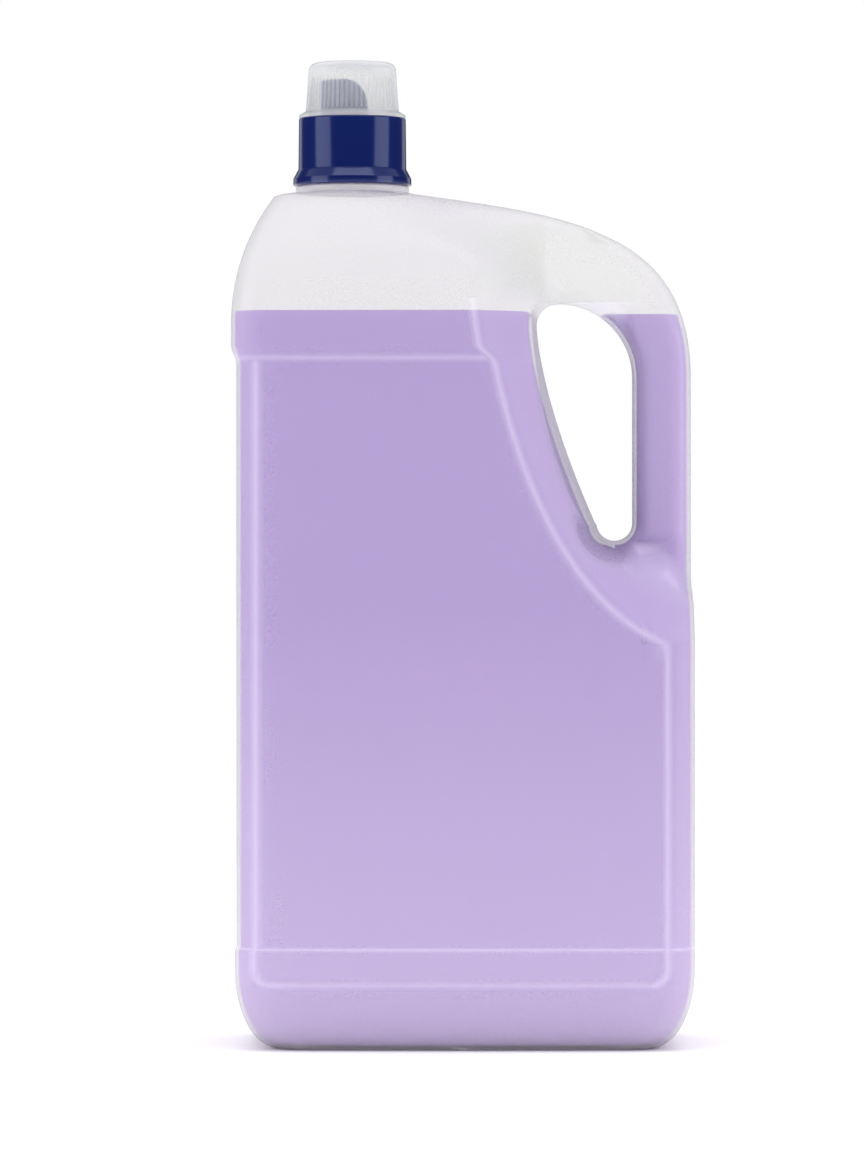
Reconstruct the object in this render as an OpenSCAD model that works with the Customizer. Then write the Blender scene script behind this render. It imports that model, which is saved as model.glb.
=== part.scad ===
// Large fabric softener bottle: a blown translucent body with a grip hole moulded through it,
// filled with liquid, a pouring fitment snapped on the neck and a dosing cap screwed into it.
// The part stands on z = 0, its width runs along x and its front faces -y.

/* [Body] */
// Width across the shoulder band
body_width = 180; // [160:1:210]
// Depth, front to back
body_depth = 118; // [100:1:140]
// Height of the shoulder, where the neck starts
body_height = 335.5; // [300:0.5:380]
// Thickness of the blown wall
wall = 1.3; // [0.9:0.1:2]
// Radius of the upright corners
corner_radius = 13; // [9:0.5:18]
// How far the broad faces bulge from edge to middle
face_crown = 2.5; // [1:0.1:5]
// Depth of the label panel below the shoulder band
panel_recess = 2; // [1:0.1:3]
// Depth of the label panel below the base band
base_band_step = 0.7; // [0.3:0.1:1.2]
// Height of the base band
base_band_height = 39.5; // [34:0.5:50]
// Distance from the shoulder down to the middle of the upper ledge
ledge_drop = 65.5; // [62:0.5:72]
// Height over which the upper ledge slopes
ledge_run = 8; // [4:0.5:12]
// Inward reach of the rounding under the body
base_round_width = 17; // [12:0.5:22]
// Height of the rounding under the body
base_round_height = 32; // [24:0.5:34]
// Height of that rounding on the broad faces, which start it with a soft crease
face_round_height = 26; // [22:0.5:30]
// Depth of the hollow under the base
base_hollow_depth = 2.5; // [1:0.1:5]
// Width of the ring that the bottle stands on
base_ring_width = 13; // [8:0.5:20]

/* [Shoulder] */
// Height of the shoulder's curve
shoulder_rise = 53.5; // [48:0.5:58]
// How far the end opposite the handle leans in over that height
shoulder_end_lean = 17.5; // [12:0.5:22]
// How far the broad faces lean in over that height
shoulder_face_lean = 29; // [22:0.5:32]

/* [Grip] */
// Width of the handle bar, seen from the front
handle_width = 22.9; // [19:0.1:28]
// Thickness of the handle bar, front to back
handle_thickness = 40; // [32:0.5:46]
// Distance from the shoulder down to the top of the grip hole
grip_drop = 43.9; // [41:0.1:50]
// Height of the grip hole
grip_height = 93.5; // [85:0.5:105]
// Width of the grip hole near its top
grip_width = 37.8; // [33:0.1:43]
// Radius of the grip hole's upper corner beside the body
grip_corner_radius = 8.6; // [6:0.1:11]
// Radius of the grip hole's foot
grip_foot_radius = 7.1; // [5.5:0.1:8.5]
// Distance from the grip hole to the upper end of the pocket round it
pocket_margin = 25.8; // [20:0.2:30]
// Distance from the grip hole's foot down to the end of the pocket
pocket_foot = 40.6; // [36:0.2:46]
// Depth of the bevel along the pocket's edge
bevel_depth = 9; // [6:0.5:12]
// Width of that bevel beside the grip hole
bevel_run = 11.5; // [9:0.5:14]
// Width of the rounding along the pocket's edge
edge_round = 4; // [2:0.5:6]
// How far the ledge moves the pocket's edge sideways
ledge_shift = 5; // [2:0.5:8]
// Radius of the shoulder's edge along the back line
shoulder_round = 25; // [18:0.5:32]
// Radius of the handle's outer edge
handle_round = 10; // [7:0.5:12]
// Radius of the handle's edge inside the grip hole
inner_round = 8; // [5:0.5:10]

/* [Neck] */
// Distance from the end opposite the handle to the middle of the neck
neck_offset = 46.5; // [44:0.5:52]
// Radius of the neck's bore
neck_bore_radius = 16.6; // [15:0.1:17.5]
// Thickness of the neck
neck_wall = 2; // [1.5:0.1:2.6]
// Height of the neck above the shoulder
neck_height = 15; // [13:0.5:18]
// Reach of the support ring beyond the neck
neck_ring_reach = 3.7; // [3:0.1:4.5]
// Thickness of the support ring
neck_ring_thickness = 2.3; // [1.6:0.1:3]
// Reach of the bead that holds the fitment
snap_reach = 0.7; // [0.4:0.1:0.9]

/* [Contents] */
// Distance from the shoulder down to the liquid's surface
fill_drop = 48.6; // [46:0.2:120]
// Gap between the liquid and the wall
liquid_gap = 0.3; // [0.2:0.05:0.6]

/* [Pouring fitment] */
// Gap between pieces that fit into each other
fit_gap = 0.3; // [0.2:0.05:0.5]
// Thickness of the fitment's walls
fitment_wall = 1.5; // [1.1:0.1:1.9]
// Height of the collar
collar_height = 26.8; // [25:0.1:32]
// Reach of the flared rim at the collar's foot
flare_reach = 2.2; // [1:0.1:3]
// Height of the flared rim, with its slope
flare_height = 6.5; // [5:0.1:8]
// Depth of the plug that seals the neck
plug_depth = 6; // [4:0.5:9]
// Outer radius of the spout
spout_radius = 12.4; // [10.5:0.1:13]
// Height of the spout's lip above its floor
spout_height = 27.5; // [22:0.5:30]
// How far the spout's sides reach behind its middle
spout_back = 6.1; // [2:0.1:9]
// Length of the round at the back of the spout's lip
lip_round_length = 9.1; // [4:0.1:14]
// Height of the round at the back of the spout's lip
lip_round_height = 10.3; // [5:0.1:15]
// Radius of the hole that lets drips run back
drain_radius = 1.6; // [1:0.1:2]

/* [Dosing cap] */
// Height of the cap above the collar
cap_height = 21.8; // [20:0.1:28]
// Outer radius of the cap's closed end
cap_end_radius = 17.2; // [15.5:0.1:17.8]
// Outer radius of the cap above its flange
cap_root_radius = 18.4; // [17.6:0.1:19.2]
// Thickness of the cap's walls
cap_wall = 1.2; // [0.9:0.1:1.6]
// Height of the flange that closes on the collar
flange_height = 2.8; // [2:0.1:4]
// Depth of the cap's threaded skirt inside the collar
skirt_depth = 11; // [8:0.5:12]
// Height of one thread ridge, which the skirt leaves room for
thread_depth = 1.1; // [0.8:0.1:1.4]
// Radius of the round at the closed end
cap_round = 3; // [1.5:0.1:5]

/* [Hidden] */
$fn = 96;

// Outer limits of the body
left_end = -body_width / 2;
right_end = body_width / 2;
curve_z = body_height - shoulder_rise;
ledge_z = body_height - ledge_drop;
fill_z = body_height - fill_drop;
roll_height = 2.5;
crease_share = 0.25;
right_corner = corner_radius - 2;

// The neck and what seats on it
neck_x = left_end + neck_offset;
neck_radius = neck_bore_radius + neck_wall;
neck_ring_radius = neck_radius + neck_ring_reach;
neck_root_radius = neck_ring_radius - 1;
neck_top = body_height + neck_height;
neck_ring_top = body_height + neck_ring_thickness;
snap_z = neck_top - 6;

// The grip hole, a leaning drop with its straight side along the handle bar
grip_right = right_end - handle_width;
grip_left = grip_right - grip_width;
grip_top = body_height - grip_drop;
grip_foot = grip_top - grip_height;
grip_arch_radius = grip_width - grip_corner_radius;
grip_corner_z = grip_top - grip_corner_radius;
grip_arch_z = grip_top - grip_arch_radius;
grip_foot_z = grip_foot + grip_foot_radius;
grip_foot_x = grip_right - grip_foot_radius;
grip_crown_x = grip_left + grip_corner_radius;
grip_lean = grip_foot_x - grip_foot_radius - 0.6 - grip_left;
pocket_end = grip_foot - pocket_foot;

// The ramp below the grip hole and the slope above it
wall_run = 9.5;
step_drop = 6;
step_lean = 0.83;
slope_foot = grip_left + 2.4;
slope_reach = 27;

// Curves seen from the front: the back of the shoulder and handle, and the two edges of the pocket
back_line = [
    [neck_x + neck_ring_radius + 5, body_height - 1],
    [right_end - 45, body_height - 9.5],
    [right_end, body_height - 16],
    [right_end, body_height - 73.5]
];
pocket_line = [
    [grip_left - pocket_margin, grip_top],
    [grip_left - pocket_margin + 2.5, grip_top - 30],
    [grip_left - 6.3, grip_foot - pocket_foot / 2],
    [right_end - corner_radius - 3, pocket_end]
];
inner_line = [
    [grip_left - 3.3, grip_top],
    [grip_left - 1.3, grip_top - 57],
    [grip_left + 16.7, grip_foot - pocket_foot / 2 + 2],
    [right_end, pocket_end + bevel_depth]
];

// The collar, the spout and the cap
collar_inner_radius = neck_radius + snap_reach + fit_gap;
collar_radius = collar_inner_radius + fitment_wall;
collar_foot = neck_ring_top + fit_gap;
collar_top = collar_foot + collar_height;
floor_z = neck_top;
floor_top = floor_z + fitment_wall;
lip_z = floor_top + spout_height;
spout_bore = spout_radius - fitment_wall;
plug_radius = neck_bore_radius - fit_gap;
flare_radius = collar_radius + flare_reach;
flange_radius = collar_radius - 0.1;
cap_top = collar_top + cap_height;
skirt_radius = collar_inner_radius - thread_depth - fit_gap;
skirt_foot = max(collar_top - skirt_depth, floor_top + 1);

function mix(a, b, t) = a + (b - a) * t;
function ease(a, b, v) = let (t = min(1, max(0, (v - a) / (b - a)))) t * t * (3 - 2 * t);
function curve(p, t) =
    let (s = 1 - t) p[0] * s * s * s + p[1] * 3 * s * s * t + p[2] * 3 * s * t * t + p[3] * t * t * t;

// x of a curve that falls from its first point to its last, at height z
function curve_x(p, z, low = 0, high = 1, steps = 22) =
    let (m = (low + high) / 2)
    steps == 0 ? curve(p, m).x
    : curve(p, m).y > z ? curve_x(p, z, m, high, steps - 1)
    : curve_x(p, z, low, m, steps - 1);

// How far an arc of a given rise and lean has leant in at height v
function arc_lean(v, rise, lean) =
    let (r = (rise * rise + lean * lean) / (2 * lean)) v <= 0 ? 0 : r - sqrt(r * r - v * v);

// Outline of the body, level by level
function base_lean(z) =
    z >= base_round_height ? 0
    : base_round_width * (1 - sqrt(1 - pow(1 - z / base_round_height, 2)));
function face_round_lean(z) =
    let (u = max(0, 1 - z / face_round_height))
    base_round_width * mix(1 - sqrt(1 - u * u), u, crease_share);
function band_lean(z) =
    mix(panel_recess - base_band_step, panel_recess, ease(base_band_height - 1, base_band_height + 1, z))
    - panel_recess * ease(ledge_z - ledge_run / 2, ledge_z + ledge_run / 2, z);
function roll(z) =
    let (v = min(1, max(0, (z - body_height + roll_height) / roll_height)))
    1 - sqrt(1 - v * v);
function left_x(z) =
    let (lean = base_lean(z) + band_lean(z) + arc_lean(z - curve_z, shoulder_rise, shoulder_end_lean))
    mix(left_end + lean, neck_x - neck_root_radius, roll(z));
function right_x(z) =
    mix(curve_x(back_line, z) - base_lean(z), neck_x + neck_root_radius, roll(z));
function half_depth(z) =
    let (lean = face_round_lean(z) + band_lean(z) + arc_lean(z - curve_z, shoulder_rise, shoulder_face_lean))
    mix(body_depth / 2 - lean, neck_root_radius, roll(z));
function face_y(x, z) =
    half_depth(z) - face_crown * pow(2 * x / body_width, 2) * (1 - roll(z));
function corner_r(z) =
    mix(corner_radius, neck_root_radius, ease(curve_z, body_height, z));

// Half the width of a circle at a height above its middle
function chord(radius, rise) = sqrt(max(0, radius * radius - rise * rise));

// Sides of the grip hole at height z
function beside_grip(z) = z > grip_foot - 0.01 && z < grip_top + 0.01;
function grip_lean_x(z) =
    grip_left + grip_lean * pow((grip_corner_z - z) / (grip_corner_z - grip_foot_z), 1.5);
function grip_left_x(z) =
    z >= grip_corner_z ? grip_left + grip_corner_radius - chord(grip_corner_radius, z - grip_corner_z)
    : z >= grip_foot_z ? grip_lean_x(z)
    : max(grip_lean_x(z), grip_foot_x - chord(grip_foot_radius, grip_foot_z - z));
function grip_right_x(z) =
    z >= grip_arch_z ? grip_right - grip_arch_radius + chord(grip_arch_radius, z - grip_arch_z)
    : z >= grip_foot_z ? grip_right
    : grip_foot_x + chord(grip_foot_radius, grip_foot_z - z);

// Height of the back line above x, and the nearest way from a point of the front view to that line
function back_z(x, low = 0, high = 1, steps = 22) =
    let (m = (low + high) / 2)
    steps == 0 ? curve(back_line, m).y
    : curve(back_line, m).x < x ? back_z(x, m, high, steps - 1)
    : back_z(x, low, m, steps - 1);
function rim_distance(x, z) =
    let (
        across = max(0, right_x(z) - x),
        up = z < back_line[3].y ? 10000 : max(0, back_z(x) - z)
    )
    across * up / max(0.0001, norm([across, up]));

// Distance from a point of the front view to the pocket's edge
edge_dots = concat([for (k = [0:24]) curve(pocket_line, k / 24)], [[2 * right_end, pocket_end]]);
function line_distance(p, a, b) =
    let (
        way = b - a,
        t = min(1, max(0, (p - a) * way / (way * way)))
    )
    norm(p - a - way * t);
function edge_distance(x, z) =
    let (p = [x - edge_shift(z), z])
    z <= pocket_end ? 0
    : min([for (k = [1:len(edge_dots) - 1]) line_distance(p, edge_dots[k - 1], edge_dots[k])]);

// Distance from a point of the front view to the grip hole, over its corner, its arch and its foot
function hole_distance(x, z) =
    z <= grip_foot_z ? norm([x - grip_foot_x, z - grip_foot_z]) - grip_foot_radius
    : z < grip_arch_z ? x - grip_right
    : x < grip_crown_x ? norm([x - grip_crown_x, z - grip_corner_z]) - grip_corner_radius
    : norm([x - grip_crown_x, z - grip_arch_z]) - grip_arch_radius;

// Height of a quarter round at a distance from its edge, as a share of its full height
function quarter(distance, radius) = chord(1, 1 - min(1, max(0, distance / radius)));

// The same for a fuller round, which leaves more of the handle's face flat
function full_round(distance, radius) =
    pow(1 - pow(1 - min(1, max(0, distance / radius)), 3), 1 / 3);

// Depth of the handle, which rounds off towards its outer edge and towards the grip hole
function handle_depth(x, z) =
    handle_thickness / 2
    * full_round(rim_distance(x, z), handle_round)
    * full_round(hole_distance(x, z), inner_round);

// Depth of the pocket's bevel, with a rounded edge
function bevel_y(x, z) =
    let (
        d = edge_distance(x, z),
        way = d < edge_round ? d * d / edge_round / 2 : d - edge_round / 2
    )
    face_y(x, z) - way * bevel_depth / bevel_run;

// Below the grip hole the bevel widens into a ramp, and a step leads from it up to the handle
function lower_depth(x, z) =
    let (
        step_top = grip_foot - step_drop * ease(grip_foot_x, grip_right + 8, x),
        step_end = grip_foot - 5 - step_lean * max(0, x - grip_foot_x - 3),
        over = min(1, max(0, (x - flat_end(z)) / (right_x(z) - flat_end(z)))),
        wall_share = min(1, max(0, hole_distance(x, z) / wall_run)),
        ramp_y = bevel_y(x, z) * wall_share - right_corner * (1 - chord(1, over)),
        step = ease(0, 1, (step_top - z) / (step_top - step_end))
    )
    mix(handle_depth(x, z), ramp_y, max(step, 1 - ease(grip_foot_x, grip_foot_x + 6, x)));

// Above the grip hole the broad face slopes over into the handle, and both end under the back line
function slope_from(z) =
    pocket_line[0].x - slope_reach * ease(grip_top + 8, body_height - 9, z);
function shoulder_depth(x, z) =
    face_y(x, z) * mix(1, quarter(rim_distance(x, z), shoulder_round), ease(neck_x, back_line[0].x + 10, x));
function upper_depth(x, z) =
    let (t = min(1, max(0, (x - slope_from(z)) / (slope_foot - slope_from(z)))))
    mix(shoulder_depth(x, z), handle_depth(x, z), t * t * (2 - t));

// Columns of a level: the pocket's edge, the foot of the bevel, the two sides of the grip hole, where the
// handle's roundings end, and the outer end
function flat_end(z) =
    let (slant = min(1.3, max(0, right_x(z - 1) - right_x(z))))
    right_x(z) - mix(handle_round, right_corner, ramp(z)) * sqrt(1 + slant * slant);
function ramp(z) = ease(grip_foot, pocket_end + bevel_depth, z);
function edge_shift(z) = ledge_shift * band_lean(z) / panel_recess;
function edge_x(z) =
    z > grip_top ? slope_from(z)
    : min(curve_x(pocket_line, z) + edge_shift(z), flat_end(z) - 9);
function inner_x(z) =
    min(mix(curve_x(inner_line, z), slope_foot, ease(grip_top - 6, grip_top + 8, z)), flat_end(z) - 6);
function foot_x(z) =
    beside_grip(z) ? grip_left_x(z)
    : z > grip_top ? min(grip_crown_x, flat_end(z) - 4)
    : min(max(grip_foot_x, inner_x(z) + 1), flat_end(z) - 4);
function spacing(z) = 0.3 + 1.2 * ease(0, 8, max(z - grip_top, grip_foot - z));
function handle_x(z) = beside_grip(z) ? grip_right_x(z) : foot_x(z) + spacing(z);
function near_x(z) =
    let (reach = z < grip_arch_z ? handle_x(z) + inner_round
        : grip_crown_x + chord(grip_arch_radius + inner_round, z - grip_arch_z))
    min(max(reach, handle_x(z) + spacing(z)), flat_end(z) - 0.8);
function outer_x(z, t) =
    mix(flat_end(z), right_x(z), sin(90 * t * mix(0.88, 1, ramp(z))));

// One level of the front half as points [x, depth]: round the end opposite the handle, across the broad
// face, down the pocket's bevel and wall to the grip hole, and round the handle to the other end
corner_steps = 4;
face_steps = 3;
bevel_steps = 4;
wall_steps = 2;
inner_steps = 3;
outer_steps = 4;
foot_column = 1 + corner_steps + face_steps + bevel_steps + wall_steps;
pocket_steps = bevel_steps + wall_steps + 1 + inner_steps + outer_steps + 2;

function steps(count, from = 1) = [for (k = [from:count]) k / count];
function pocket_columns(z) =
    concat(
        [for (t = steps(bevel_steps)) mix(edge_x(z), inner_x(z), t)],
        [for (t = steps(wall_steps)) mix(inner_x(z), foot_x(z), t)],
        [handle_x(z)],
        [for (t = steps(inner_steps)) mix(near_x(z), handle_x(z), cos(90 * t))],
        [for (t = steps(outer_steps, 0)) outer_x(z, t)],
        [right_x(z)]);

// Depth beside the grip hole: the bevel, the wall from its foot to the hole, and the handle
function beside_depth(x, z) =
    x <= inner_x(z) ? bevel_y(x, z)
    : x <= foot_x(z) ? mix(
        z > grip_top ? handle_depth(foot_x(z), z) : 0,
        bevel_y(inner_x(z), z),
        (foot_x(z) - x) / (foot_x(z) - inner_x(z)))
    : handle_depth(x, z);
function pocket_depth(x, z) =
    z > grip_top + 8 ? upper_depth(x, z)
    : z > grip_top ? mix(beside_depth(x, z), upper_depth(x, z), ease(grip_top, grip_top + 8, z))
    : z > grip_foot_z || x > grip_foot_x && z > grip_foot ? beside_depth(x, z)
    : lower_depth(x, z);
function pocket_points(z) =
    let (
        plain = pocket_columns(z),
        last = pocket_steps - 1,
        upper = ease(grip_top + 23, grip_top + 33, z)
    )
    [for (k = [0:last])
        let (even = mix(edge_x(z), right_x(z), sin(90 * (k + 1) / pocket_steps)))
        k == last ? [right_x(z), 0]
        : beside_grip(z) && (k == foot_column - 1 - corner_steps - face_steps - 1
            || k == foot_column - corner_steps - face_steps - 1) ? [plain[k], 0]
        : let (x = mix(plain[k], even, upper)) [x, pocket_depth(x, z)]];

// Round the neck's root the level is a circle
function root_point(angle) = [neck_x - neck_root_radius * cos(angle), neck_root_radius * sin(angle)];
function level(z) =
    let (
        a = left_x(z),
        r = corner_r(z),
        side = face_y(a + r, z),
        top = roll(z),
        plain = pocket_points(z)
    )
    concat(
        [[a, 0]],
        [for (t = steps(corner_steps, 0))
            mix([a + r * (1 - cos(90 * t)), side - r * (1 - sin(90 * t))], root_point(10 + 56 * t), top)],
        [for (t = steps(face_steps))
            let (x = mix(a + r, edge_x(z), t))
            mix([x, z > grip_top ? shoulder_depth(x, z) : face_y(x, z)], root_point(66 + 24 * t), top)],
        [for (k = [0:pocket_steps - 1])
            mix(plain[k], root_point(90 + 90 * (k + 1) / pocket_steps), top)]);

// Heights of the levels, closest where the outline turns
function sorted(v) =
    len(v) == 0 ? []
    : concat(
        sorted([for (e = v) if (e < v[0] - 0.05) e]),
        [v[0]],
        sorted([for (e = v) if (e > v[0] + 0.05) e]));
levels = sorted(concat(
    [grip_foot, grip_top, fill_z, face_round_height],
    [for (a = [0:18:90]) base_round_height * (1 - cos(a))],
    [base_band_height - 1, base_band_height + 1],
    [for (t = [0.35, 0.7]) mix(base_band_height, pocket_end, t)],
    [for (t = steps(4, 0)) mix(pocket_end, grip_foot - 20, t)],
    [for (t = steps(6)) mix(grip_foot - 20, grip_foot, t)],
    [for (a = [30:30:90]) grip_foot + grip_foot_radius * (1 - cos(a))],
    [for (t = steps(4)) mix(grip_foot_z, ledge_z - ledge_run / 2, t)],
    [ledge_z, ledge_z + ledge_run / 2, mix(ledge_z + ledge_run / 2, grip_corner_z, 0.5)],
    [for (a = [0:30:60]) grip_corner_z + grip_corner_radius * sin(a)],
    [for (d = [2.5, 6, 10.5, 16, 22]) grip_top + d],
    [for (t = steps(6)) back_z(mix(right_end - 33, back_line[0].x + 6, t))],
    [for (a = [0:30:90]) body_height - roll_height * (1 - sin(a))]));

// Rows of the skin: the hollow under the base and the ring round it, and then the levels
function base_row(in, z) =
    let (
        end = level(0)[0].x,
        deep = half_depth(0)
    )
    [for (p = level(0)) [p.x * (1 + in / end), -p.y * (1 - in / deep), z]];
heights = concat([base_hollow_depth, 0], levels);
outline = concat(
    [base_row(base_ring_width + base_hollow_depth / 2, base_hollow_depth), base_row(base_ring_width, 0)],
    [for (z = levels) [for (p = level(z)) [p.x, -p.y, z]]]);
top_row = len(heights) - 1;
last_column = len(outline[0]) - 1;
row_size = last_column + 1;
half_size = len(heights) * row_size;

// Outward direction of the skin at a point of the front half
function beside_hole(i, j) =
    i > 1 && beside_grip(heights[i]) && (j == foot_column || j == foot_column + 1);
function hole_end(i) = i > 1 && (abs(heights[i] - grip_top) < 0.01 || abs(heights[i] - grip_foot) < 0.01);
function outward(i, j) =
    let (
        hole = beside_hole(i, j),
        next = hole && j == foot_column ? j : min(j + 1, last_column),
        before = hole && j > foot_column ? j : max(j - 1, 0),
        across = outline[i][next] - outline[i][before],
        up = outline[min(i + 1, top_row)][j] - outline[max(i - 1, 0)][j],
        n = cross(across, up)
    )
    hole && hole_end(i) ? [0, 0, heights[i] > grip_foot + 1 ? -1 : 1]
    : heights[i] > body_height - roll_height - 0.01 ? root_outward(outline[i][j])
    : i == 0 ? [-across.y, across.x, -norm(across)] / max(0.0001, norm(across))
    : n / max(0.0001, norm(n));
function root_outward(p) =
    let (
        v = (p.z - body_height + roll_height) / roll_height,
        aside = [p.x - neck_x, p.y]
    )
    [aside.x * (1 - v), aside.y * (1 - v), v * norm(aside)] / norm(aside);
function on_parting(i, j) = j == 0 || j == last_column || beside_hole(i, j);
function skin_point(i, j, inset) =
    let (p = outline[i][j] - outward(i, j) * inset)
    [p.x, on_parting(i, j) ? 0 : min(p.y, -0.05), p.z];

// The skin moved in by an inset, as points: the front half and then the mirrored back half, which share
// their points on the parting plane
function skin_points(inset, rows = top_row) =
    let (front = [for (i = [0:rows]) for (j = [0:last_column]) skin_point(i, j, inset)])
    concat(front, [for (p = front) [p.x, -p.y, p.z]]);
function place(i, j, side, rows = top_row) =
    hole_end(i) && j == foot_column + 1 ? i * row_size + foot_column
    : i * row_size + j + (side == 1 && !on_parting(i, j) ? (rows + 1) * row_size : 0);
function without_repeats(list) =
    [for (k = [0:len(list) - 1]) if (list[k] != list[(k + 1) % len(list)]) list[k]];
function skin_faces(rows = top_row) =
    [
        for (side = [0, 1])
            for (i = [0:rows - 1])
                for (j = [0:last_column - 1])
                    if (!(beside_hole(i, j) && beside_hole(i + 1, j) && j == foot_column))
                        let (
                            a = place(i, j, side, rows),
                            b = place(i + 1, j, side, rows),
                            c = place(i + 1, j + 1, side, rows),
                            d = place(i, j + 1, side, rows)
                        )
                        without_repeats(side == 0 ? [a, b, c, d] : [a, d, c, b])
    ];

// Points round one row from one column to another, along the front and home along the back
function loop(i, first, last, rows = top_row) =
    concat(
        [for (j = [first:last]) place(i, j, 0, rows)],
        [for (j = [last - 1:-1:first + 1]) place(i, j, 1, rows)]);
function backward(list) = concat([list[0]], [for (k = [len(list) - 1:-1:1]) list[k]]);
function shifted(faces, by) = [for (f = faces) [for (k = f) k + by]];

// The blown shell: an outer and an inner skin that meet round the neck's root
module shell() {
    size = 2 * half_size;
    rim = loop(top_row, 0, last_column);
    count = len(rim);
    polyhedron(
        concat(skin_points(0), skin_points(wall)),
        concat(
            skin_faces(),
            [loop(0, 0, last_column)],
            shifted([for (f = skin_faces()) backward(f)], size),
            shifted([backward(loop(0, 0, last_column))], size),
            [for (k = [0:count - 1])
                let (n = (k + 1) % count) [rim[k], rim[k] + size, rim[n] + size, rim[n]]]),
        4);
}

module neck() {
    translate([neck_x, 0, 0])
        rotate_extrude()
            polygon([
                [neck_bore_radius, body_height - 1.5 * wall],
                [neck_ring_radius, body_height - 1.5 * wall],
                [neck_ring_radius, neck_ring_top - 0.6],
                [neck_ring_radius - 0.6, neck_ring_top],
                [neck_radius, neck_ring_top],
                [neck_radius, snap_z - 2],
                [neck_radius + snap_reach, snap_z - 1.2],
                [neck_radius + snap_reach, snap_z],
                [neck_radius, snap_z + 2.4],
                [neck_radius, neck_top - 0.5],
                [neck_radius - 0.5, neck_top],
                [neck_bore_radius, neck_top]
            ]);
}

module bottle() {
    color([0.93, 0.93, 0.94])
        union() {
            shell();
            neck();
        }
}

// The liquid's surface stays level, so its points move in along the level until they clear the wall
function surface_point(i, j, inset) =
    let (
        p = outline[i][j],
        n = outward(i, j),
        flat = on_parting(i, j) ? [n.x, 0] : [n.x, n.y],
        along = flat * flat,
        share = on_parting(i, j) ? along + n.z * n.z : 1,
        q = [p.x, p.y] - flat * inset * share / max(0.1, along)
    )
    [q.x, on_parting(i, j) ? 0 : min(q.y, -0.05), p.z];
function liquid_points(inset, rows) =
    let (front = [for (i = [0:rows]) for (j = [0:last_column])
        i == rows ? surface_point(i, j, inset) : skin_point(i, j, inset)])
    concat(front, [for (p = front) [p.x, -p.y, p.z]]);

// The liquid fills the shell up to a level that runs past the grip hole, so its surface has two parts
module softener_liquid() {
    rows = search(0, [for (z = heights) abs(z - fill_z) < 0.01 ? 0 : 1])[0];
    surface = beside_hole(rows, foot_column)
        ? [loop(rows, 0, foot_column, rows), loop(rows, foot_column + 1, last_column, rows)]
        : [loop(rows, 0, last_column, rows)];
    color([0.72, 0.64, 0.83])
        polyhedron(
            liquid_points(wall + liquid_gap, rows),
            concat(skin_faces(rows), [loop(0, 0, last_column, rows)], [for (f = surface) backward(f)]),
            4);
}

// Wall of the collar with its flared rim, the floor on the neck's rim and the plug inside the neck
module collar_and_floor() {
    bead_z = snap_z - 2 - fit_gap;
    rotate_extrude()
        polygon([
            [collar_inner_radius, collar_foot],
            [flare_radius - 0.5, collar_foot],
            [flare_radius, collar_foot + 0.5],
            [flare_radius, collar_foot + flare_height / 2],
            [collar_radius + 0.2, collar_foot + flare_height],
            [collar_radius, collar_top - 0.8],
            [collar_radius - 0.3, collar_top - 0.2],
            [collar_radius - 0.8, collar_top],
            [collar_inner_radius + 0.2, collar_top],
            [collar_inner_radius, collar_top - 0.4],
            [collar_inner_radius, floor_top + 1],
            [collar_inner_radius - 1, floor_top],
            [spout_bore, floor_top],
            [spout_bore, floor_z],
            [plug_radius - fitment_wall, floor_z],
            [plug_radius - fitment_wall, floor_z - plug_depth],
            [plug_radius - 0.6, floor_z - plug_depth],
            [plug_radius, floor_z - plug_depth + 1.5],
            [plug_radius, floor_z],
            [collar_inner_radius, floor_z],
            [collar_inner_radius, bead_z],
            [collar_inner_radius - snap_reach, bead_z - 0.5],
            [collar_inner_radius - snap_reach, bead_z - 1],
            [collar_inner_radius, bead_z - 2.5]
        ]);
}

// The spout, a tube that is open behind, with its lip rounded down towards the opening
module spout() {
    lip_from = spout_back - lip_round_length;
    intersection() {
        difference() {
            translate([0, 0, floor_top - 0.5])
                cylinder(r = spout_radius, h = spout_height + 0.5);
            translate([0, 0, floor_top - 1])
                cylinder(r = spout_bore, h = spout_height + 2);
        }
        rotate([90, 0, 0])
            linear_extrude(4 * spout_radius, center = true)
                polygon(concat(
                    [[-2 * spout_radius, floor_z], [spout_back, floor_z]],
                    [for (a = [0:9:90])
                        [lip_from + lip_round_length * cos(a), lip_z - lip_round_height * (1 - sin(a))]],
                    [[-2 * spout_radius, lip_z]]));
    }
}

module pour_fitment() {
    color([0.09, 0.13, 0.42])
        translate([neck_x, 0, 0])
            difference() {
                union() {
                    collar_and_floor();
                    spout();
                }
                translate([(spout_radius + plug_radius - fitment_wall) / 2, 0, floor_z - 1])
                    cylinder(r = drain_radius, h = fitment_wall + 2);
            }
}

module dosing_cap() {
    color([0.9, 0.92, 0.95])
        translate([neck_x, 0, 0])
            rotate_extrude()
                polygon(concat(
                    [
                        [skirt_radius - cap_wall, skirt_foot],
                        [skirt_radius - 0.4, skirt_foot],
                        [skirt_radius, skirt_foot + 0.6],
                        [skirt_radius, collar_top],
                        [flange_radius - 0.3, collar_top],
                        [flange_radius, collar_top + 0.3],
                        [flange_radius, collar_top + 0.9],
                        [cap_root_radius, collar_top + flange_height]
                    ],
                    [for (a = [0:15:90])
                        [cap_end_radius - cap_round * (1 - cos(a)), cap_top - cap_round * (1 - sin(a))]],
                    [[0, cap_top], [0, cap_top - cap_wall]],
                    [for (a = [90:-15:0])
                        let (r = cap_round - cap_wall)
                        [cap_end_radius - cap_round + r * cos(a), cap_top - cap_round + r * sin(a)]],
                    [
                        [cap_root_radius - cap_wall, collar_top + flange_height],
                        [skirt_radius - cap_wall, collar_top]
                    ]));
}

bottle();
softener_liquid();
pour_fitment();
dosing_cap();
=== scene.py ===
import bisect
import math

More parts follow.
